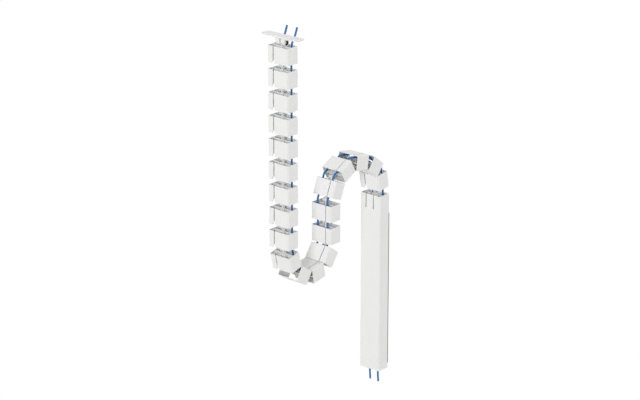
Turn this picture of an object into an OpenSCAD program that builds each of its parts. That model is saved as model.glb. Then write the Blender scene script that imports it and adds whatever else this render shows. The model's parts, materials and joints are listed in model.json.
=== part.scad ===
// Cable spine for a sit-stand desk: a screw-on desk plate, a chain of hinged hollow links
// that folds into a loop, and a leg channel with a bonded strip, carrying two data cables.
// The origin is the middle of the strip's bonded face: +Y points into the desk leg, +Z is up.

/* [Link] */
// Width of a link across the chain
link_w = 67; // [56:0.5:90]
// Depth of a link from front to back
link_d = 40.5; // [36:0.5:56]
// Height of a link along the chain
link_h = 44; // [36:0.5:70]
// Wall thickness of the links and the leg channel
wall = 2; // [1.6:0.1:2.6]
// Radius of the upright corners
corner_r = 5; // [4:0.5:8]
// Rounding of the rims
rim_r = 1.5; // [0.8:0.1:1.5]
// Thickness of the web that parts the two chambers
web_t = 2; // [1.6:0.1:3]
// Distance of the web from each rim
web_inset = 1; // [0.5:0.5:6]
// Width of the front slit that the cables are pressed through
slit_w = 3.6; // [3:0.1:6]
// Distance of the front slit from the middle of its wall, to the left
slit_x = 13.8; // [9:0.1:20]
// Widening of the front slit's lower mouth on each side
flare_w = 3.7; // [1:0.1:5]
// Height of the front slit's widened mouth
flare_h = 9; // [4:0.5:14]
// Width of the back slit
back_slit_w = 2.4; // [1.5:0.1:6]
// Distance of the back slit from the middle of its wall, to the right
back_slit_x = 16; // [9:0.5:20]

/* [Hinge] */
// Largest turn of one hinge to either side, in degrees
max_bend = 45; // [45:1:52]
// Clearance between two rims at the largest turn
rim_clear = 0.6; // [0.4:0.1:1.5]
// Radius of the hinge trunnions
pin_r = 2.9; // [2:0.1:3.2]
// Wall of the hollow trunnions
pin_wall = 0.9; // [0.6:0.1:1.4]
// Running clearance round a trunnion
pin_clear = 0.06; // [0.03:0.01:0.09]
// Outer radius of the hinge eyes
eye_r = 5; // [4.4:0.1:6]
// Width of the tongue that carries the trunnions
tongue_w = 4; // [3:0.1:8]
// Width of one ear on a link
ear_w = 4; // [1.8:0.1:6]
// Distance of the hinges' middle from the middle of the chain, to the left
hinge_x = 1.5; // [0:0.1:4]
// Clearance between the tongue and each ear
side_clear = 0.15; // [0.1:0.05:0.4]
// Depth of the tongue's stem
stem_d = 7; // [5:0.5:8]
// Length of the stem's root inside its link
root_len = 10; // [6:0.5:14]

/* [Chain] */
// Links that hang straight below the desk plate
hanging_links = 9; // [4:1:14]
// Links that stand upright between the loop and the arch
rising_links = 2; // [1:1:6]
// Turn at each hinge of the lower loop, in degrees
loop_turns = [15, 44, 42, 44, 35]; // [0:1:45]
// Turn at each hinge of the upper arch, in degrees
arch_turns = [22, 40, 37, 28, 43, 10]; // [0:1:45]

/* [Desk plate] */
// Length of the plate across the chain
plate_w = 122; // [118:1:180]
// Depth of the plate
plate_d = 27.5; // [22:0.5:40]
// Thickness of the plate
plate_t = 4; // [3:0.5:6]
// Corner radius of the plate
plate_corner_r = 4; // [2:0.5:8]
// Rounding of the plate's edges
plate_edge_r = 1; // [0.4:0.1:1.4]
// Height of the plate's top above the first hinge
plate_rise = 17; // [15:0.5:30]
// Distance between the two screw holes
screw_spacing = 106; // [60:1:110]
// Radius of the screw holes
screw_r = 2.5; // [1.5:0.1:3]
// Radius of a screw head's countersink
sink_r = 4.6; // [3.2:0.1:5.5]
// Width of one hinge lug under the plate
lug_w = 13.3; // [8:0.1:16]
// Outer radius of the lugs
lug_r = 8; // [7:0.1:8.5]
// Wall round the cup in a lug's outer end
lug_wall = 1.7; // [1.2:0.1:2.4]
// Floor between a lug's cup and the end of its blind bore
lug_floor = 1.2; // [0.8:0.1:2]
// Radius of the hub in the middle of the cup
hub_r = 2.5; // [1.5:0.1:3]
// Distance of the hub's end from the lug's outer face
hub_inset = 3.5; // [1:0.5:6]

/* [Leg channel] */
// Length of the leg channel
channel_len = 495; // [250:1:700]
// Height of the last hinge above the channel's rim
channel_gap = 10; // [9:0.5:16]
// Width of the snap tongue between its two slits
snap_w = 22.5; // [14:0.5:30]
// Distance of the snap tongue from the middle of the wall, to the left
snap_x = 1.5; // [0:0.1:4]
// Length of the snap tongue
snap_len = 39; // [30:0.5:44]
// Width of the slits beside the snap tongue
snap_slit_w = 3; // [2:0.1:4]
// Length of the bonded strip
strip_len = 427; // [200:1:640]
// Distance of the bonded strip's edges from the channel's sides
strip_inset = 2; // [0:0.5:6]
// Thickness of the bonded strip
strip_t = 5; // [3:0.5:7]
// Height by which the strip stands proud of the channel
strip_proud = 1; // [0.5:0.1:2]
// Distance of the strip from the channel's lower rim
strip_foot = 13; // [8:0.5:30]

/* [Channel adapter] */
// Height of the adapter that plugs into the channel
adapter_h = 34; // [24:0.5:36]
// Depth of the adapter below the channel's rim
adapter_inset = 1.5; // [1:0.5:5]
// Wall thickness of the adapter
adapter_wall = 2; // [1.6:0.1:2.4]
// Clearance between the adapter and the channel
adapter_clear = 0.2; // [0.1:0.05:0.4]
// Distance of the adapter's nose from the slits beside the snap tongue
nose_clear = 1; // [0.5:0.1:2]
// Width and height of the ledges that the adapter rests on
ledge = 1.5; // [1:0.1:2]
// Depth of those ledges
ledge_d = 16; // [8:0.5:20]
// Width of the catch on the snap tongue
catch_w = 12; // [6:0.5:13]
// Height of the catch
catch_h = 6; // [4:0.5:8]
// Reach of the catch into the adapter
catch_reach = 1.6; // [1:0.1:2]
// Clearance round the catch in its window
catch_clear = 0.3; // [0.2:0.1:0.6]

/* [Cable] */
// Diameter of a data cable
cable_d = 5.2; // [4:0.1:6]
// Distance of each cable from the middle of the chain
cable_x = 16.7; // [14:0.1:20]
// Depth of the cables behind the hinge line
cable_y = 13.1; // [12:0.1:14]
// Bow of the cables away from the sharpest hinge of the arch
cable_bow = 3.6; // [0:0.1:4]

/* [Hidden] */
$fn = 48;
eps = 0.01;
over = 1;
white = [0.93, 0.93, 0.92];
strip_grey = [0.42, 0.42, 0.43];
cable_blue = [0.13, 0.27, 0.55];

// Gap between two rims that leaves rim_clear at the largest turn, and the hinge pitch
half_gap = (rim_r + rim_clear / 2 + (link_d / 2 - rim_r) * sin(max_bend / 2)) / cos(max_bend / 2) - rim_r;
pitch = link_h + 2 * half_gap;
hinge_w = tongue_w + 2 * (side_clear + ear_w);
bore_r = pin_r + pin_clear;
inner_r = max(corner_r - wall, rim_r);

// The turn at every hinge from the desk plate down to the channel
turns = concat(
    [for (i = [1:hanging_links]) 0],
    loop_turns,
    [for (i = [2:1:rising_links]) 0],
    [for (a = arch_turns) -a]
);
link_count = len(turns) - 1;

// Place of the channel's axis and of the last hinge
recess = strip_t - strip_proud;
channel_bore_w = link_w - 2 * wall;
channel_bore_d = link_d - 2 * wall - recess;
channel_y = -strip_proud - link_d / 2;
channel_top = channel_len - strip_foot - strip_len / 2;
strip_drop = channel_len - strip_foot - strip_len;
last_hinge = [channel_y, channel_top + channel_gap];

// Lean of link k from hanging straight: 0 is the desk plate, link_count + 1 the channel
function lean(k) = k > link_count ? 0 : lean(k + 1) - turns[k];
// Direction along the chain at a given lean, in Y and Z
function along(a) = [sin(a), -cos(a)];
// Direction towards a link's back wall at a given lean
function behind(a) = [cos(a), sin(a)];
// Place of the hinge below link k in Y and Z
function hinge_point(k) = k >= link_count ? last_hinge : hinge_point(k + 1) - pitch * along(lean(k + 1));
// Point at depth y and distance s down the chain, measured from the hinge above link k
function on_link(k, y, s) = hinge_point(k - 1) + y * behind(lean(k)) + s * along(lean(k));

function link_name(k) = str("link_", k < 10 ? "0" : "", k);

// Route of a cable as [distance from the middle, Y, Z]. Above the first link it leans back
// past the plate, it bows outwards round the arch, and in the channel it drifts to the middle.
top_route = [[34.5, -34], [31, -24.5], [26.7, -14.7], [19.5, -3.5], [15, 6]];
channel_route = [[16.7, 11.2, 8], [16.7, 11, 38], [15.7, 10.6, 55], [14.4, 10, 72], [14, 9.2, 95],
    [14, 7, 180], [14, 4, 310], [14, 1.2, 440], [14, 0.2, 505], [14, 0.8, 525], [14, 2.3, 545]];
link_stations = [0.2, 0.5, 0.8];
// Share of the bow that is left at the stations beside a hinge
bow_share = 0.4;
function bow(k) = k > 0 && k < link_count ? cable_bow * max(0, -turns[k]) / max(arch_turns) : 0;
function depth_on(k, f) = cable_y + bow_share * (f < 0.5 ? bow(k - 1) : f > 0.5 ? bow(k) : 0);
function past_hinge(k) = hinge_point(k) + (cable_y + bow(k)) * behind((lean(k) + lean(k + 1)) / 2);
function cable_route() = concat(
    [for (p = top_route) concat(cable_x, on_link(1, p[0], p[1]))],
    [for (k = [1:link_count]) each concat(
        [for (f = link_stations) if (k > 1 || f > link_stations[0])
            concat(cable_x, on_link(k, depth_on(k, f), f * pitch))],
        bow(k) > 0 ? [concat(cable_x, past_hinge(k))] : []
    )],
    [for (p = channel_route) concat(p[0], last_hinge + [p[1], -p[2]])]
);
cable_sides = 8;

module rounded_rect(w, d, r) {
    square([w - 2 * r, d], center = true);
    square([w, d - 2 * r], center = true);
    for (x = [-1, 1], y = [-1, 1])
        translate([x * (w / 2 - r), y * (d / 2 - r)])
            circle(r);
}

// A block hanging from z = 0 with upright corners of radius r and rims rounded to edge_r
module rounded_block(w, d, h, r, edge_r) {
    translate([0, 0, -h / 2])
        intersection() {
            linear_extrude(h, center = true)
                rounded_rect(w, d, r);
            rotate([90, 0, 90])
                linear_extrude(w + over, center = true)
                    rounded_rect(d, h, edge_r);
            rotate([90, 0, 0])
                linear_extrude(d + over, center = true)
                    rounded_rect(w, h, edge_r);
        }
}

// An upright tube's hollow from z = top down by h
module hollow(w, d, top, h) {
    translate([0, 0, top - h])
        linear_extrude(h)
            rounded_rect(w, d, inner_r);
}

// A cylinder along X
module cross_pin(r, len) {
    rotate([0, 90, 0])
        cylinder(h = len, r = r, center = true);
}

// A bar in the Y-Z plane with a round eye of radius r at z = 0, reaching to z = reach
module eye_bar(width, r, depth, reach) {
    rotate([90, 0, 90])
        linear_extrude(width, center = true) {
            circle(r);
            translate([-depth / 2, min(0, reach)])
                square([depth, abs(reach)]);
        }
}

// A link's two ears with bores for the trunnions, hanging from z = reach to an eye at z = 0
module ears(reach) {
    for (side = [-1, 1])
        translate([side * (tongue_w / 2 + side_clear + ear_w / 2), 0, 0])
            difference() {
                eye_bar(ear_w, eye_r, 2 * eye_r, reach);
                cross_pin(bore_r, ear_w + over);
            }
}

// The tongue with its hollow trunnions at z = 0, on a stem rooted at z = -rim
module tongue(rim) {
    difference() {
        union() {
            eye_bar(tongue_w, eye_r, stem_d, -rim - root_len);
            cross_pin(pin_r, hinge_w);
        }
        cross_pin(pin_r - pin_wall, hinge_w + over);
    }
    translate([-hinge_w / 2, -stem_d / 2, -rim - root_len])
        cube([hinge_w, stem_d, root_len]);
}

// A slit through the front wall along the whole link, at x from its middle
module slit(x, w) {
    translate([x - w / 2, -link_d / 2 - over, -half_gap - link_h - over])
        cube([w, wall + 2 * over, link_h + 2 * over]);
}

// The widened lower mouth of the front slit
module slit_mouth() {
    half = slit_w / 2;
    translate([-slit_x, -link_d / 2 + wall + over, -half_gap - link_h])
        rotate([90, 0, 0])
            linear_extrude(wall + 2 * over)
                polygon([
                    [-half - flare_w, -over],
                    [half + flare_w, -over],
                    [half + flare_w, 0],
                    [half, flare_h],
                    [-half, flare_h],
                    [-half - flare_w, 0]
                ]);
}

// One link, hanging from the hinge at its origin
module link() {
    color(white) {
        difference() {
            translate([0, 0, -half_gap])
                rounded_block(link_w, link_d, link_h, corner_r, rim_r);
            hollow(link_w - 2 * wall, link_d - 2 * wall, over - half_gap, link_h + 2 * over);
            slit(-slit_x, slit_w);
            slit_mouth();
            rotate([0, 0, 180])
                slit(-back_slit_x, back_slit_w);
        }
        translate([-link_w / 2 + wall - eps, -web_t / 2, -half_gap - link_h + web_inset])
            cube([link_w - 2 * wall + 2 * eps, web_t, link_h - 2 * web_inset]);
        translate([-hinge_x, 0, 0])
            tongue(half_gap + web_inset);
        translate([-hinge_x, 0, -pitch])
            ears(pitch - half_gap - web_inset - root_len / 2);
    }
}

module at_link(k) {
    p = hinge_point(k - 1);
    translate([0, p[0], p[1]])
        rotate([lean(k), 0, 0])
            children();
}

module screw_hole() {
    translate([0, 0, -plate_t - over])
        cylinder(h = plate_t + 2 * over, r = screw_r);
    translate([0, 0, -plate_t])
        cylinder(h = sink_r - screw_r, r1 = sink_r, r2 = screw_r);
    translate([0, 0, -plate_t - over])
        cylinder(h = over + eps, r = sink_r);
}

// The ring-shaped cup in the outer end of a right-hand lug, round its hub
module lug_cup() {
    floor_x = hinge_w / 2 + side_clear + lug_floor;
    depth = tongue_w / 2 + side_clear + lug_w - floor_x;
    translate([floor_x, 0, 0])
        rotate([0, 90, 0])
            difference() {
                cylinder(h = depth + over, r = lug_r - lug_wall);
                translate([0, 0, -over])
                    cylinder(h = depth + over - hub_inset, r = hub_r);
            }
}

// The two hinge lugs under the desk plate, with blind bores for the trunnions
module lugs(reach) {
    difference() {
        for (side = [-1, 1])
            translate([side * (tongue_w / 2 + side_clear + lug_w / 2), 0, 0])
                eye_bar(lug_w, lug_r, 2 * lug_r, reach);
        for (turn = [0, 180])
            rotate([0, 0, turn])
                lug_cup();
        cross_pin(bore_r, hinge_w + 2 * side_clear);
    }
}

module desk_plate() {
    p = hinge_point(0);
    color(white)
        translate([0, p[0], p[1]])
            rotate([lean(0), 0, 0]) {
                translate([0, 0, plate_rise])
                    difference() {
                        rounded_block(plate_w, plate_d, plate_t, plate_corner_r, plate_edge_r);
                        for (side = [-1, 1])
                            translate([side * screw_spacing / 2, 0, 0])
                                screw_hole();
                    }
                translate([-hinge_x, 0, 0])
                    lugs(plate_rise - plate_t + eps);
            }
}

// A slit beside the snap tongue, open at the rim and round at its lower end
module snap_slit() {
    translate([0, -link_d / 2 + wall + over, 0])
        rotate([90, 0, 0])
            linear_extrude(wall + 2 * over) {
                translate([-snap_slit_w / 2, -snap_len + snap_slit_w / 2])
                    square([snap_slit_w, snap_len]);
                translate([0, -snap_len + snap_slit_w / 2])
                    circle(snap_slit_w / 2);
            }
}

// The ramped catch inside the snap tongue, level with the adapter's window
module snap_catch() {
    translate([-snap_x - catch_w / 2, -link_d / 2 + wall - eps, catch_z()])
        rotate([90, 0, 90])
            linear_extrude(catch_w)
                polygon([[0, 0], [catch_reach + adapter_clear, 0], [0, catch_h]]);
}
function catch_z() = -adapter_inset - adapter_h / 2 - catch_h / 2;

module leg_channel() {
    ledge_top = -adapter_inset - adapter_h;
    color(white)
        translate([0, channel_y, channel_top]) {
            difference() {
                rounded_block(link_w, link_d, channel_len, corner_r, rim_r);
                translate([-link_w / 2 - over, link_d / 2 - recess, -strip_drop - strip_len])
                    cube([link_w + 2 * over, recess + over, strip_len]);
                translate([0, -recess / 2, 0])
                    hollow(channel_bore_w, channel_bore_d, over, channel_len + 2 * over);
                for (side = [-1, 1])
                    translate([-snap_x + side * (snap_w + snap_slit_w) / 2, 0, 0])
                        snap_slit();
            }
            snap_catch();
            for (side = [-1, 1])
                translate([side * (channel_bore_w - ledge) / 2, 0, ledge_top - ledge / 2])
                    cube([ledge + 2 * eps, ledge_d, ledge], center = true);
        }
}

// The adapter's nose behind the snap tongue: a front plate on two ribs, with the catch's window
module adapter_nose(front, h) {
    w = snap_w - 2 * nose_clear;
    translate([-snap_x, 0, 0])
        difference() {
            translate([-w / 2, front, 0])
                cube([w, -front, h]);
            translate([-w / 2 + adapter_wall, front + adapter_wall, -over])
                cube([w - 2 * adapter_wall, -front, h + 2 * over]);
            translate([-catch_w / 2 - catch_clear, front - over, (adapter_h - catch_h) / 2 - catch_clear])
                cube([catch_w + 2 * catch_clear, adapter_wall + 2 * over, catch_h + 2 * catch_clear]);
        }
}

// The plug in the channel's mouth that carries the last hinge: side walls, web and nose
module channel_adapter() {
    w = channel_bore_w - 2 * adapter_clear;
    d = channel_bore_d - 2 * adapter_clear;
    web_h = adapter_h - web_inset;
    foot = -channel_gap - adapter_inset - adapter_h;
    color(white)
        translate([0, last_hinge[0], last_hinge[1]]) {
            translate([0, 0, foot]) {
                linear_extrude(adapter_h)
                    difference() {
                        translate([0, -recess / 2])
                            rounded_rect(w, d, inner_r - adapter_clear);
                        square([w - 2 * adapter_wall, 2 * link_d], center = true);
                    }
                translate([-w / 2 + eps, -web_t / 2, 0])
                    cube([w - 2 * eps, web_t, web_h]);
                adapter_nose(-recess / 2 - d / 2, web_h);
            }
            translate([-hinge_x, 0, 0])
                tongue(-foot - web_h);
        }
}

module leg_strip() {
    color(strip_grey)
        translate([strip_inset - link_w / 2, -strip_t, -strip_len / 2])
            cube([link_w - 2 * strip_inset, strip_t, strip_len]);
}

// A tube along the cable's route, mirrored to the left or right side
module cable(side) {
    route = cable_route();
    last = len(route) - 1;
    n = cable_sides;
    rings = [for (i = [0:last])
        let (
            step = route[min(i + 1, last)] - route[max(i - 1, 0)],
            run = norm([step[1], step[2]]),
            out = [-step[2], step[1]] / run
        )
        for (j = [0:n - 1])
            let (
                across = cable_d / 2 * cos(360 * j / n),
                away = cable_d / 2 * sin(360 * j / n)
            )
            [side * (route[i][0] + across), route[i][1] + away * out[0], route[i][2] + away * out[1]]
    ];
    sides = [for (i = [0:last - 1], j = [0:n - 1])
        let (k = (j + 1) % n)
        [i * n + j, i * n + k, (i + 1) * n + k, (i + 1) * n + j]
    ];
    first_cap = [for (j = [n - 1:-1:0]) j];
    last_cap = [for (j = [0:n - 1]) last * n + j];
    faces = concat(sides, [first_cap], [last_cap]);
    color(cable_blue)
        polyhedron(rings, side > 0 ? faces : [for (f = faces) [for (i = [len(f) - 1:-1:0]) f[i]]]);
}

desk_plate();
for (k = [1:link_count])
    at_link(k) link();
leg_channel();
channel_adapter();
leg_strip();
cable(-1);  // cable_left
cable(1);  // cable_right
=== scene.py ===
import json
import math

import bpy
from mathutils import Matrix, Vector

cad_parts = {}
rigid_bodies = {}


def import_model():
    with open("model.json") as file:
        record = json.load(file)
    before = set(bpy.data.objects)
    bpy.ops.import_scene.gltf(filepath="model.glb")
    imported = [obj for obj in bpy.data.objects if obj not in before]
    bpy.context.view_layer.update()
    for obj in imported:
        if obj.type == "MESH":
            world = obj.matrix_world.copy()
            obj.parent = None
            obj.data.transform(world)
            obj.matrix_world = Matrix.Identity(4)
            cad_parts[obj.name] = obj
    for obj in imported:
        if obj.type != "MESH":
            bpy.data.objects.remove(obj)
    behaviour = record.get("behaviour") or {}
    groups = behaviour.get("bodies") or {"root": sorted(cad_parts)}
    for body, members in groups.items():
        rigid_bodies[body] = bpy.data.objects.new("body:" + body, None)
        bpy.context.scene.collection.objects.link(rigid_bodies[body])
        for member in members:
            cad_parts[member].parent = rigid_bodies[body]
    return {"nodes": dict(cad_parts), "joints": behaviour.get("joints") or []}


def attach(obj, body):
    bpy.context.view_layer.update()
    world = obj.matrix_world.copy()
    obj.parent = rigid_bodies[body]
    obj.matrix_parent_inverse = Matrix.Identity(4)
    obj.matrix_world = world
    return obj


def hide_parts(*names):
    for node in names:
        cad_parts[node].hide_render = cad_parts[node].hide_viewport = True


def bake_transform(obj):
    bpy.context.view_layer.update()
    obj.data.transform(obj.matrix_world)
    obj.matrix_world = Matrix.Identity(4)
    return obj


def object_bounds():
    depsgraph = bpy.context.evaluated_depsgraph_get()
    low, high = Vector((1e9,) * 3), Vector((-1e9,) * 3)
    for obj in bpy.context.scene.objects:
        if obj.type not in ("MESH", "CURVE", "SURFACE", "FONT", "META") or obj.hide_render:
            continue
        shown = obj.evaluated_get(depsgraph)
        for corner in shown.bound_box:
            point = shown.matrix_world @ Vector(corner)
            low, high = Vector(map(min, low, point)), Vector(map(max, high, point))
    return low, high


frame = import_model()
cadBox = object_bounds()
nodes = frame["nodes"]
mm = 0.001
white = (1, 1, 1, 1)


# places a camera or lamp round a target, facing it
def faceTarget(thing, target, settings):
    turn = math.radians(settings["azimuth"])
    rise = math.radians(settings["elevation"])
    back = Vector((math.sin(turn) * math.cos(rise), -math.cos(turn) * math.cos(rise), math.sin(rise)))
    thing.location = target + back * settings["distance"]
    thing.rotation_euler = (-back).to_track_quat("-Z", "Y").to_euler()
    bpy.context.scene.collection.objects.link(thing)


# camera at the photograph's angle
cameraSettings = {
    "azimuth": 41.658,          # degrees round from straight in front
    "elevation": 19.225,        # degrees above the horizon
    "distance": 6.2,            # metres to the target
    "target": (-0.0277, -0.2081, 0.2899),
    "lens": 135.36,             # millimetres
    "sensor": 36,               # millimetres across
}


def makeCamera(settings):
    data = bpy.data.cameras.new("camera")
    data.sensor_width = settings["sensor"]
    data.lens = settings["lens"]
    camera = bpy.data.objects.new("camera", data)
    faceTarget(camera, Vector(settings["target"]), settings)
    bpy.context.scene.camera = camera


makeCamera(cameraSettings)
bpy.context.scene.view_settings.view_transform = "Standard"
print("camera set")


# a socket in a node tree: sums and products on it add Math nodes
class Wire:
    def __init__(self, tree, socket=None):
        self.tree = tree
        self.socket = socket

    def node(self, kind, settings, inputs, output=0):
        made = self.tree.nodes.new("ShaderNode" + kind)
        for name, value in settings.items():
            setattr(made, name, value)
        for name, value in inputs.items():
            if isinstance(value, Wire):
                self.tree.links.new(value.socket, made.inputs[name])
            else:
                made.inputs[name].default_value = value
        return Wire(self.tree, made.outputs[output]) if made.outputs else None

    def maths(self, operation, first, second):
        return self.node("Math", {"operation": operation}, {0: first, 1: second})

    def __add__(self, other):
        return self.maths("ADD", self, other)

    def __radd__(self, other):
        return self.maths("ADD", other, self)

    def __mul__(self, other):
        return self.maths("MULTIPLY", self, other)

    def __rmul__(self, other):
        return self.maths("MULTIPLY", other, self)


def newMaterial(name):
    material = bpy.data.materials.new(name)
    material.use_nodes = True
    material.node_tree.nodes.clear()
    return material, Wire(material.node_tree)


def finishMaterial(wire, shader):
    wire.node("OutputMaterial", {}, {"Surface": shader})


# the colour sockets of a Mix node go by number, because their names repeat
def mixColours(wire, share, first, second):
    return wire.node("Mix", {"data_type": "RGBA"}, {0: share, 6: first, 7: second}, 2)


def mixShaders(wire, share, first, second):
    return wire.node("MixShader", {}, {0: share, 1: first, 2: second})


def noise(wire, size, detail):
    place = wire.node("TexCoord", {}, {}, "Object")
    return wire.node("TexNoise", {}, {"Vector": place, "Scale": 1 / size, "Detail": detail})


def dress(piece, material):
    piece.data.materials.clear()
    piece.data.materials.append(material)


# floor, backdrop and lamps
stageSettings = {
    "floorHeight": -0.46,
    "floorSize": 40,
    "floorColour": (0.82, 0.82, 0.82, 1),
    "shadowShare": 0.04,        # how much of the floor's own shading the camera sees
    "glow": 1.015,              # makes the open floor just white to the camera
    "skyStrength": 0.39,
}
lampSettings = {
    "key": {"azimuth": 25, "elevation": 17, "distance": 12, "size": 2.4, "watts": 483},
    "left": {"azimuth": -50, "elevation": 25, "distance": 12, "size": 3.6, "watts": 328},
    "side": {"azimuth": 110, "elevation": 17, "distance": 12, "size": 3.6, "watts": 252},
    "rear": {"azimuth": 180, "elevation": 55, "distance": 12, "size": 3.6, "watts": 400},
}


# 1 for what is seen by the camera, in a gloss or through glass, 0 for what only lights
def seenRays(wire):
    seen = wire.node("LightPath", {}, {}, "Is Camera Ray")
    glossy = wire.node("LightPath", {}, {}, "Is Glossy Ray")
    through = wire.node("LightPath", {}, {}, "Is Transmission Ray")
    return wire.node("Math", {"operation": "ADD", "use_clamp": True}, {0: seen + glossy, 1: through})


def makeFloor(settings):
    half = settings["floorSize"] / 2
    height = settings["floorHeight"]
    corners = [(-half, -half, height), (half, -half, height), (half, half, height), (-half, half, height)]
    mesh = bpy.data.meshes.new("studioFloor")
    mesh.from_pydata(corners, [], [(0, 1, 2, 3)])
    floor = bpy.data.objects.new("studioFloor", mesh)
    bpy.context.scene.collection.objects.link(floor)
    material, wire = newMaterial("paleFloor")
    paint = wire.node("BsdfDiffuse", {}, {"Color": settings["floorColour"]})
    glow = wire.node("Emission", {}, {"Color": white, "Strength": settings["glow"]})
    lifted = mixShaders(wire, 1 - settings["shadowShare"], paint, glow)
    finishMaterial(wire, mixShaders(wire, seenRays(wire), paint, lifted))
    dress(floor, material)


def makeSky(settings):
    world = bpy.data.worlds.new("studioSky")
    bpy.context.scene.world = world
    world.use_nodes = True
    world.node_tree.nodes.clear()
    wire = Wire(world.node_tree)
    dim = wire.node("Background", {}, {"Color": white, "Strength": settings["skyStrength"]})
    bright = wire.node("Background", {}, {"Color": white, "Strength": 1})
    wire.node("OutputWorld", {}, {"Surface": mixShaders(wire, seenRays(wire), dim, bright)})


def makeLamp(name, settings, target):
    data = bpy.data.lights.new(name, "AREA")
    data.size = settings["size"]
    data.energy = settings["watts"]
    lamp = bpy.data.objects.new(name, data)
    faceTarget(lamp, target, settings)


makeFloor(stageSettings)
makeSky(stageSettings)
for lampName, lampValues in lampSettings.items():
    makeLamp(lampName, lampValues, (cadBox[0] + cadBox[1]) / 2)
print("stage set")


# white moulded plastic of the plate, links, adapter and channel
plasticSettings = {
    "colour": (0.87, 0.87, 0.865, 1),
    "deepColour": (0.83, 0.83, 0.82, 1),
    "flowSize": 30 * mm,        # slow drift of tone from the moulding
    "flowDetail": 3,
    "flowShare": 0.6,           # how far the drift reaches towards the deep colour
    "grainSize": 0.6 * mm,
    "grainDetail": 2,
    "grainHeight": 0.02 * mm,
    "grainStrength": 0.6,
    "roughness": 0.46,
    "flowRoughness": 0.08,
    "grainRoughness": 0.06,
}


def whitePlastic(settings):
    material, wire = newMaterial("whitePlastic")
    grain = noise(wire, settings["grainSize"], settings["grainDetail"])
    flow = noise(wire, settings["flowSize"], settings["flowDetail"])
    relief = {"Height": grain, "Distance": settings["grainHeight"], "Strength": settings["grainStrength"]}
    rough = settings["roughness"] + flow * settings["flowRoughness"] + grain * settings["grainRoughness"]
    shader = wire.node("BsdfPrincipled", {}, {
        "Base Color": mixColours(
            wire, flow * settings["flowShare"], settings["colour"], settings["deepColour"]),
        "Roughness": rough,
        "Normal": wire.node("Bump", {}, relief),
    })
    finishMaterial(wire, shader)
    return material


# closed-cell foam of the bonded strip
foamSettings = {
    "colour": (0.195, 0.195, 0.2, 1),
    # painted shade: a darker colour in the pits of the pores
    "poreShadeColour": (0.105, 0.105, 0.11, 1),
    "poreSize": 0.9 * mm,
    "poreDepth": 0.25 * mm,
    "poreStrength": 0.8,
    "roughness": 0.82,
    "poreRoughness": 0.1,
}


def foamRubber(settings):
    material, wire = newMaterial("foamRubber")
    place = wire.node("TexCoord", {}, {}, "Object")
    pores = wire.node("TexVoronoi", {}, {"Vector": place, "Scale": 1 / settings["poreSize"]}, "Distance")
    relief = {"Height": pores, "Distance": settings["poreDepth"], "Strength": settings["poreStrength"]}
    shader = wire.node("BsdfPrincipled", {}, {
        # the pits of the pores are darkened by their depth, as painted shade over the foam's own colour
        "Base Color": mixColours(wire, pores, settings["poreShadeColour"], settings["colour"]),
        "Roughness": settings["roughness"] + pores * settings["poreRoughness"],
        "Normal": wire.node("Bump", {}, relief),
    })
    finishMaterial(wire, shader)
    return material


# jacket of the two data cables
jacketSettings = {
    "colour": (0.03, 0.148, 0.375, 1),
    "scuffColour": (0.05, 0.186, 0.44, 1),
    "scuffSize": 7 * mm,
    "scuffDetail": 4,
    "scuffShare": 0.7,          # how far the scuffs reach towards their own colour
    "grainSize": 1.1 * mm,
    "grainDetail": 1,
    "grainHeight": 0.03 * mm,
    "grainStrength": 0.5,
    "roughness": 0.5,
    "scuffRoughness": 0.12,
    "shine": 0.35,
}


def cableJacket(settings):
    material, wire = newMaterial("cableJacket")
    scuff = noise(wire, settings["scuffSize"], settings["scuffDetail"])
    grain = noise(wire, settings["grainSize"], settings["grainDetail"])
    relief = {"Height": grain, "Distance": settings["grainHeight"], "Strength": settings["grainStrength"]}
    shader = wire.node("BsdfPrincipled", {}, {
        "Base Color": mixColours(
            wire, scuff * settings["scuffShare"], settings["colour"], settings["scuffColour"]),
        "Roughness": settings["roughness"] + scuff * settings["scuffRoughness"],
        "Specular IOR Level": settings["shine"],
        "Normal": wire.node("Bump", {}, relief),
    })
    finishMaterial(wire, shader)
    return material


plastic = whitePlastic(plasticSettings)
foam = foamRubber(foamSettings)
jacket = cableJacket(jacketSettings)
for nodeName, node in nodes.items():
    dress(node, foam if nodeName == "leg_strip" else plastic)
print("finishes set")


# the chain's hinges in order, from the plate to the channel
chain = {joint["child"]: joint for joint in frame["joints"]}
hingeRow = [chain["desk_plate"]]
while hingeRow[-1]["parent"] in chain:
    hingeRow.append(chain[hingeRow[-1]["parent"]])
hingePoints = [Vector(joint["pos_m"]) for joint in hingeRow]
linkCount = len(hingePoints) - 1
pitch = (hingePoints[1] - hingePoints[0]).length
hangDown = Vector((0, 0, -1))
sideAxis = Vector((1, 0, 0))


def linkAlong(k):
    if k < 1 or k > linkCount:
        return hangDown
    return (hingePoints[k] - hingePoints[k - 1]).normalized()


def linkBehind(k):
    along = linkAlong(k)
    return Vector((0, -along.z, along.y))


def onLink(k, depth, down):
    return hingePoints[k - 1] + linkBehind(k) * depth + linkAlong(k) * down


# how far the chain turns towards its front at a hinge
def archTurn(k):
    if k < 1 or k >= linkCount:
        return 0
    return max(0, -math.asin(linkAlong(k).cross(linkAlong(k + 1)).x))


def squareTo(ahead):
    reference = hangDown if ahead.cross(sideAxis).length == 0 else sideAxis
    return (reference - ahead * reference.dot(ahead)).normalized()


def ringAround(point, ahead, radius, sides):
    across = squareTo(ahead)
    out = ahead.cross(across)
    ring = []
    for j in range(sides):
        angle = 2 * math.pi * j / sides
        ring.append(point + (across * math.cos(angle) + out * math.sin(angle)) * radius)
    return ring


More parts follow.
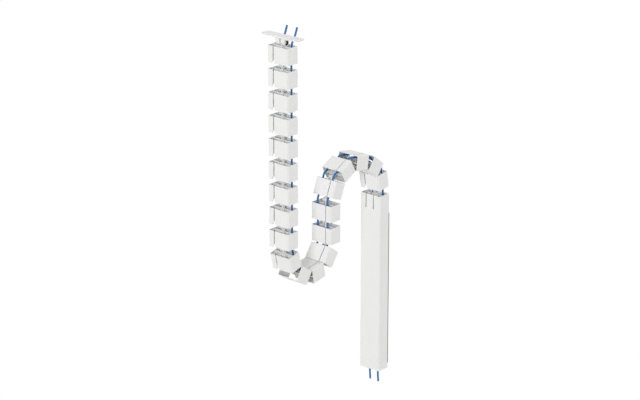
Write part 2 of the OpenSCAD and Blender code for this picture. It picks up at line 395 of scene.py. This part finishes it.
# corners and faces of a closed tube through rows of (point, direction, radius), numbered from base;
# a ring's last row leads back to its first, where a rod has two flat ends
def tubeShape(rows, sides, base=0, ring=False):
    corners = []
    for point, ahead, radius in rows:
        corners += ringAround(point, ahead, radius, sides)
    faces = []
    for i in range(len(rows) if ring else len(rows) - 1):
        low = base + i * sides
        high = base + (i + 1) % len(rows) * sides
        for j in range(sides):
            k = (j + 1) % sides
            faces.append((low + j, low + k, high + k, high + j))
    if not ring:
        last = base + (len(rows) - 1) * sides
        faces.append(tuple(base + j for j in range(sides - 1, -1, -1)))
        faces.append(tuple(last + j for j in range(sides)))
    return corners, faces


def makePiece(name, corners, faces, material):
    mesh = bpy.data.meshes.new(name)
    mesh.from_pydata(corners, [], faces)
    mesh.update()
    piece = bpy.data.objects.new(name, mesh)
    bpy.context.scene.collection.objects.link(piece)
    dress(piece, material)
    return piece


# dark rings in the cups of the plate's two hinge lugs, put there as painted shade for the deep hollows
cupShadeSettings = {
    "middle": -1.5 * mm,        # the hinges' middle, across the chain
    "floor": 7.5 * mm,          # distance of a cup's floor from there
    "face": 15.45 * mm,         # distance of a lug's outer face
    "inset": 0.5 * mm,          # distance of the ring below the lug's face
    "clear": 0.05 * mm,
    "outer": 6.25 * mm,         # radius
    "inner": 5.3 * mm,          # radius
    "hole": 2.55 * mm,          # radius of the hole for the lug's hub
    "base": 0.8 * mm,           # thickness of the ring's floor
    "edge": 0.2 * mm,
    "sides": 48,
    "sharpAngle": 40,
    # near-black painted shade of the cup's hollow, with a random speckle of tone
    "colour": (0.012, 0.012, 0.013, 1),
    "dustColour": (0.03, 0.03, 0.031, 1),
    "dustSize": 3 * mm,
    "dustDetail": 4,
    "roughness": 0.6,
    "dustRoughness": 0.15,
    "grainSize": 0.4 * mm,
    "grainDetail": 1,
    "grainHeight": 0.02 * mm,
    "grainStrength": 0.5,
}


# finish of the rings: painted shade, near black, with random speckle in its tone
def paintedCupShade(settings):
    material, wire = newMaterial("paintedCupShade")
    dust = noise(wire, settings["dustSize"], settings["dustDetail"])
    grain = noise(wire, settings["grainSize"], settings["grainDetail"])
    relief = {"Height": grain, "Distance": settings["grainHeight"], "Strength": settings["grainStrength"]}
    shader = wire.node("BsdfPrincipled", {}, {
        "Base Color": mixColours(wire, dust, settings["colour"], settings["dustColour"]),
        "Roughness": settings["roughness"] + dust * settings["dustRoughness"],
        "Normal": wire.node("Bump", {}, relief),
    })
    finishMaterial(wire, shader)
    return material


# a dark ring lining one lug's cup, as painted shade
def makeCupShade(side, name, material, settings):
    ahead = sideAxis * side
    foot = settings["floor"] + settings["clear"]
    top = settings["face"] - settings["inset"]
    base = foot + settings["base"]
    edge = settings["edge"]
    outer = settings["outer"]
    inner = settings["inner"]
    profile = (
        (foot, settings["hole"]), (foot, outer), (top - edge, outer), (top, outer - edge),
        (top, inner + edge), (top - edge, inner), (base, inner), (base, settings["hole"]))
    middle = hingePoints[0] + sideAxis * settings["middle"]
    rows = [(middle + ahead * place, ahead, radius) for place, radius in profile]
    corners, faces = tubeShape(rows, settings["sides"], ring=True)
    piece = makePiece(name, corners, faces, material)
    piece.data.shade_smooth()
    piece.data.set_sharp_from_angle(angle=math.radians(settings["sharpAngle"]))
    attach(piece, "desk_plate")


# painted shade in the cups of both lugs
cupShadeMaterial = paintedCupShade(cupShadeSettings)
makeCupShade(-1, "lug_cup_shade_left", cupShadeMaterial, cupShadeSettings)
makeCupShade(1, "lug_cup_shade_right", cupShadeMaterial, cupShadeSettings)
print("bushes seated")


# the twisted pairs that show in a cable's cut end
wireSettings = {
    "radius": 0.42 * mm,
    "pairOffset": 0.92 * mm,    # distance of a pair from the cable's middle
    "inset": 0.35 * mm,         # distance of the wires' ends below the jacket's cut
    "sink": 0.1 * mm,           # how far the wires reach into the floor of the jacket's bore
    "copper": 0.22 * mm,        # radius of a conductor
    "proud": 0.2 * mm,          # height of a conductor's end above its insulation
    "colours": ((0.75, 0.22, 0.03), (0.03, 0.09, 0.42), (0.03, 0.22, 0.06), (0.16, 0.07, 0.03)),
    "mateColour": (0.72, 0.72, 0.70),
    "copperColour": (0.72, 0.36, 0.20),
    "grainSize": 0.25 * mm,
    "grainDetail": 1,
    "roughness": 0.35,
    "grainRoughness": 0.1,
    "sides": 12,                # corners of a ring
}


def wireFinish(settings):
    material, wire = newMaterial("coreWires")
    grain = noise(wire, settings["grainSize"], settings["grainDetail"])
    shader = wire.node("BsdfPrincipled", {}, {
        "Base Color": wire.node("Attribute", {"attribute_name": "wireColour"}, {}),
        "Roughness": settings["roughness"] + grain * settings["grainRoughness"],
    })
    finishMaterial(wire, shader)
    return material


coreWires = wireFinish(wireSettings)


def makeWires(name, tip, outward, body, boreDepth, settings):
    across = squareTo(outward)
    up = outward.cross(across)
    top = -settings["inset"]
    copper = settings["copperColour"]
    corners = []
    faces = []
    paints = []
    for pair, colour in enumerate(settings["colours"]):
        turn = 2 * math.pi * (pair + 0.5) / len(settings["colours"])
        out = across * math.cos(turn) + up * math.sin(turn)
        beside = up * math.cos(turn) - across * math.sin(turn)
        for swing, paint in ((-1, colour), (1, settings["mateColour"])):
            middle = tip + out * settings["pairOffset"] + beside * swing * settings["radius"]
            # height, radius and the colour of the band above
            steps = (
                (-boreDepth - settings["sink"], settings["radius"], paint),
                (top, settings["radius"], paint),
                (top, settings["copper"], copper),
                (top + settings["proud"], settings["copper"], copper))
            rows = [(middle + outward * height, outward, radius) for height, radius, band in steps]
            wireCorners, wireFaces = tubeShape(rows, settings["sides"], len(corners))
            corners += wireCorners
            faces += wireFaces
            for height, radius, band in steps[:-1]:
                paints += [band] * settings["sides"]
            paints += [paint, copper]
    piece = makePiece(name, corners, faces, coreWires)
    layer = piece.data.color_attributes.new("wireColour", "FLOAT_COLOR", "CORNER")
    for face, paint in zip(piece.data.polygons, paints):
        for corner in face.loop_indices:
            layer.data[corner].color = (*paint, 1)
    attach(piece, body)


# the two data cables, in pieces that each reach across one hinge
cableSettings = {
    "diameter": 5.2 * mm,
    "across": 16.7 * mm,        # distance from the middle of the chain
    "depth": 13.1 * mm,         # distance behind the hinge line
    "bow": 1.2 * mm,            # outward bow at the sharpest hinge of the arch
    "bowShare": 0.4,            # what is left of the bow at the stations beside a hinge
    "upperStation": 0.2,        # shares of a link where its cable is held
    "middleStation": 0.5,
    "lowerStation": 0.8,
    "bendFrom": 0.64,           # share of a link where its cable starts to bend
    "topRoute": ((34.5, -34), (31, -24.5), (26.7, -14.7), (19.5, -3.5), (15, 6)),
    "channelRoute": (
        (16.7, 11.2, 8), (16.7, 11, 38), (15.7, 10.6, 55), (14.4, 10, 72), (14, 9.2, 95),
        (14, 7, 180), (14, 4, 310), (14, 1.2, 440), (14, 0.2, 505), (14, 0.8, 525), (14, 2.3, 545)),
    "jacketWall": 0.7 * mm,
    "edgeShare": 0.25,          # rounding of a cut edge, as a share of the jacket's wall
    "cutDepth": 1.6 * mm,       # how far the jacket's bore is open at a cut end
    "sides": 20,                # corners of a ring
    "step": 2.5 * mm,           # longest way from ring to ring
    "sharpAngle": 40,           # degrees from which an edge stays sharp
}


# points of the right cable's route, and the places in it where one piece ends and the next starts
def cableRoute(settings):
    sharpest = max(archTurn(k) for k in range(linkCount))
    bows = [settings["bow"] * archTurn(k) / sharpest for k in range(linkCount + 1)]
    sideways = sideAxis * settings["across"]
    points = [onLink(1, depth * mm, down * mm) + sideways for depth, down in settings["topRoute"]]
    marks = [0]
    for k in range(1, linkCount + 1):
        stations = (
            (settings["upperStation"], bows[k - 1]),
            (settings["middleStation"], 0),
            (settings["lowerStation"], bows[k]))
        if k == 1:
            stations = stations[1:]     # the route from the plate leads past the upper one
        for share, bow in stations:
            if share == settings["middleStation"]:
                marks.append(len(points))
            depth = settings["depth"] + settings["bowShare"] * bow
            points.append(onLink(k, depth, share * pitch) + sideways)
        if bows[k] > 0:
            outward = (linkBehind(k) + linkBehind(k + 1)).normalized()
            points.append(hingePoints[k] + outward * (settings["depth"] + bows[k]) + sideways)
    for across, depth, down in settings["channelRoute"]:
        points.append(hingePoints[-1] + Vector((across, depth, -down)) * mm)
    marks.append(len(points) - 1)
    return points, marks


# points on a smooth curve through the route, one list for each stretch of it
def smoothStretches(points, step):
    stretches = []
    for i in range(len(points) - 1):
        before = points[max(i - 1, 0)]
        start = points[i]
        end = points[i + 1]
        after = points[min(i + 2, len(points) - 1)]
        span = (end - start).length
        leave = (end - before).normalized() * span
        arrive = (after - start).normalized() * span
        count = max(2, math.ceil(span / step))
        stretch = []
        for j in range(count):
            t = j / count
            stretch.append(
                start * (2 * t**3 - 3 * t**2 + 1) + leave * (t**3 - 2 * t**2 + t)
                + end * (3 * t**2 - 2 * t**3) + arrive * (t**3 - t**2))
        stretches.append(stretch)
    return stretches


# rows of a jacket along a path, with its bore open at a cut end
def jacketRows(path, settings, cutStart, cutEnd):
    radius = settings["diameter"] / 2
    bore = radius - settings["jacketWall"]
    edge = settings["jacketWall"] * settings["edgeShare"]
    rows = []
    for i, point in enumerate(path):
        ahead = (path[min(i + 1, len(path) - 1)] - path[max(i - 1, 0)]).normalized()
        rows.append((point, ahead, radius))
    if cutStart:
        point, ahead, radius = rows[0]
        rows[0] = (point + ahead * edge, ahead, radius)
        rows[:0] = [
            (point + ahead * settings["cutDepth"], ahead, bore),
            (point, ahead, bore),
            (point, ahead, radius - edge)]
    if cutEnd:
        point, ahead, radius = rows[-1]
        rows[-1] = (point - ahead * edge, ahead, radius)
        rows += [
            (point, ahead, radius - edge),
            (point, ahead, bore),
            (point - ahead * settings["cutDepth"], ahead, bore)]
    return rows


def makeCable(side, node, settings):
    flip = Matrix.Diagonal((side, 1, 1))
    route, marks = cableRoute(settings)
    points = [flip @ point for point in route]
    stretches = smoothStretches(points, settings["step"])
    reach = (1 - settings["bendFrom"]) * pitch
    boreDepth = settings["cutDepth"]
    length = 0
    for k in range(linkCount + 1):
        first = marks[k]
        last = marks[k + 1]
        path = [point for stretch in stretches[first:last] for point in stretch] + [points[last]]
        length += sum((b - a).length for a, b in zip(path, path[1:]))
        rows = jacketRows(path, settings, k == 0, k == linkCount)
        corners, faces = tubeShape(rows, settings["sides"])
        piece = makePiece(f"{node}_{k:02d}", corners, faces, jacket)
        piece.data.shade_smooth()
        piece.data.set_sharp_from_angle(angle=math.radians(settings["sharpAngle"]))
        joint = hingeRow[k]
        start = hingePoints[k] - linkAlong(k) * reach
        end = hingePoints[k] + linkAlong(k + 1) * reach
        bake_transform(piece)
        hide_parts(node)
        if k == 0:
            outward = (path[0] - path[1]).normalized()
            makeWires(f"{node}_top_wires", path[0], outward, joint["child"], boreDepth, wireSettings)
        if k == linkCount:
            outward = (path[-1] - path[-2]).normalized()
            makeWires(f"{node}_end_wires", path[-1], outward, joint["parent"], boreDepth, wireSettings)
    print(f"{node}: {linkCount + 1} pieces, {length:.3f} m")


makeCable(-1, "cable_left", cableSettings)
makeCable(1, "cable_right", cableSettings)
print("cables laid")
